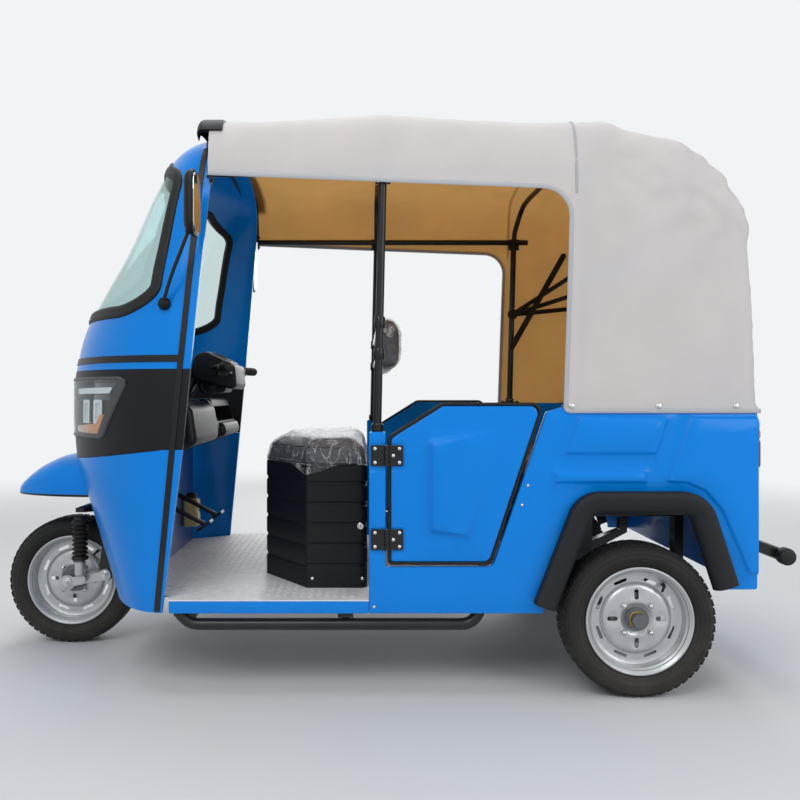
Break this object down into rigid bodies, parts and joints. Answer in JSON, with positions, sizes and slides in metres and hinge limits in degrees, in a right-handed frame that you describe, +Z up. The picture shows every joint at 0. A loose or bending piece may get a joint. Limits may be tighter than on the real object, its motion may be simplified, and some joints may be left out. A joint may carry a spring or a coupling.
{
  "type": "auto rickshaw",
  "caption": "Three-wheeled passenger auto rickshaw with a blue cab and tub, a canvas hood on a tube frame, half doors and silver steel wheels",
  "frame": {"origin": "on the ground, at the middle of the overall length and width", "axes": "+X forward, +Y to the vehicle's left, +Z up"},
  "size_m": [2.7749, 1.468, 1.904],
  "materials": {
    "blue_paint": "gloss",
    "navy_paint": "satin",
    "black_trim": "satin",
    "black_rubber": "matte",
    "clear_glass": "gloss",
    "clear_lens": "gloss",
    "clear_film": "gloss",
    "black_plastic": "satin",
    "bright_reflector": "gloss",
    "canvas": "matte",
    "black_steel": "satin",
    "floor_aluminium": "satin",
    "amber_plastic": "gloss",
    "seat_vinyl": "satin",
    "bench_vinyl": "satin",
    "charcoal_plastic": "matte",
    "red_lens": "gloss",
    "cast_grey": "matte",
    "mirror_face": "gloss",
    "tyre_rubber": "matte",
    "silver_steel": "satin"
  },
  "bodies": {
    "body": {"upper_cowl": "blue_paint", "windscreen_seal": "black_rubber", "windscreen": "clear_glass", "belt_panel": "black_plastic", "headlamp_lenses": "clear_lens", "headlamp_bowls": "bright_reflector", "leg_shield": "blue_paint", "cab_trim": "black_trim", "front_mudguard": "blue_paint", "canvas_hood": "canvas", "rear_window": "clear_film", "header_visor": "black_plastic", "hood_frame": "black_steel", "chassis_frame": "black_steel", "floor_plate": "floor_aluminium", "sills": "blue_paint", "bulkhead": "navy_paint", "dash": "black_plastic", "pedals": "black_steel", "brake_fluid_bottle": "amber_plastic", "seat_box": "black_plastic", "driver_cushion": "seat_vinyl", "driver_backrest": "seat_vinyl", "side_panel_left": "blue_paint", "side_panel_right": "blue_paint", "wheel_arch_flares": "charcoal_plastic", "rear_panel": "blue_paint", "tail_lamps": "red_lens", "rear_deck": "navy_paint", "power_unit": "cast_grey", "bench_cushion": "bench_vinyl", "bench_backrest": "bench_vinyl", "rear_bumper": "black_steel", "step_bars": "black_steel", "mirrors": "black_plastic", "mirror_glasses": "mirror_face", "post_hinges": "black_steel", "rear_axle": "black_steel", "leaf_springs": "black_steel"},
    "door_left": {"door_left": "blue_paint", "door_edge_left": "black_rubber", "door_hinges_left": "black_steel"},
    "door_right": {"door_right": "blue_paint", "door_edge_right": "black_rubber", "door_hinges_right": "black_steel"},
    "steering": {"front_fork": "black_steel", "fork_links": "silver_steel", "front_shocks": "black_steel", "handlebar": "black_plastic", "handlebar_grips": "black_rubber"},
    "front_wheel": {"front_tyre": "tyre_rubber", "front_rim": "silver_steel", "front_hub": "cast_grey"},
    "rear_wheel_left": {"rear_tyre_left": "tyre_rubber", "rear_rim_left": "silver_steel", "rear_hub_left": "cast_grey"},
    "rear_wheel_right": {"rear_tyre_right": "tyre_rubber", "rear_rim_right": "silver_steel", "rear_hub_right": "cast_grey"}
  },
  "joints": [
    {"name": "steering_turn", "type": "hinge", "parent": "body", "child": "steering", "pos_m": [1.1045, 0, 0.243], "axis": [-0.4695, 0, 0.8829], "range_deg": [-35, 35]},
    {"name": "front_wheel_spin", "type": "hinge", "parent": "steering", "child": "front_wheel", "pos_m": [1.1445, 0, 0.243], "axis": [0, 1, 0], "continuous": true},
    {"name": "rear_wheel_left_spin", "type": "hinge", "parent": "body", "child": "rear_wheel_left", "pos_m": [-0.8555, 0.57, 0.243], "axis": [0, 1, 0], "continuous": true},
    {"name": "rear_wheel_right_spin", "type": "hinge", "parent": "body", "child": "rear_wheel_right", "pos_m": [-0.8555, -0.57, 0.243], "axis": [0, 1, 0], "continuous": true},
    {"name": "door_left_swing", "type": "hinge", "parent": "body", "child": "door_left", "pos_m": [-0.0565, 0.6173, 0.63], "axis": [0, 0, -1], "range_deg": [0, 85]},
    {"name": "door_right_swing", "type": "hinge", "parent": "body", "child": "door_right", "pos_m": [-0.0565, -0.6173, 0.63], "axis": [0, 0, 1], "range_deg": [0, 85]}
  ]
}
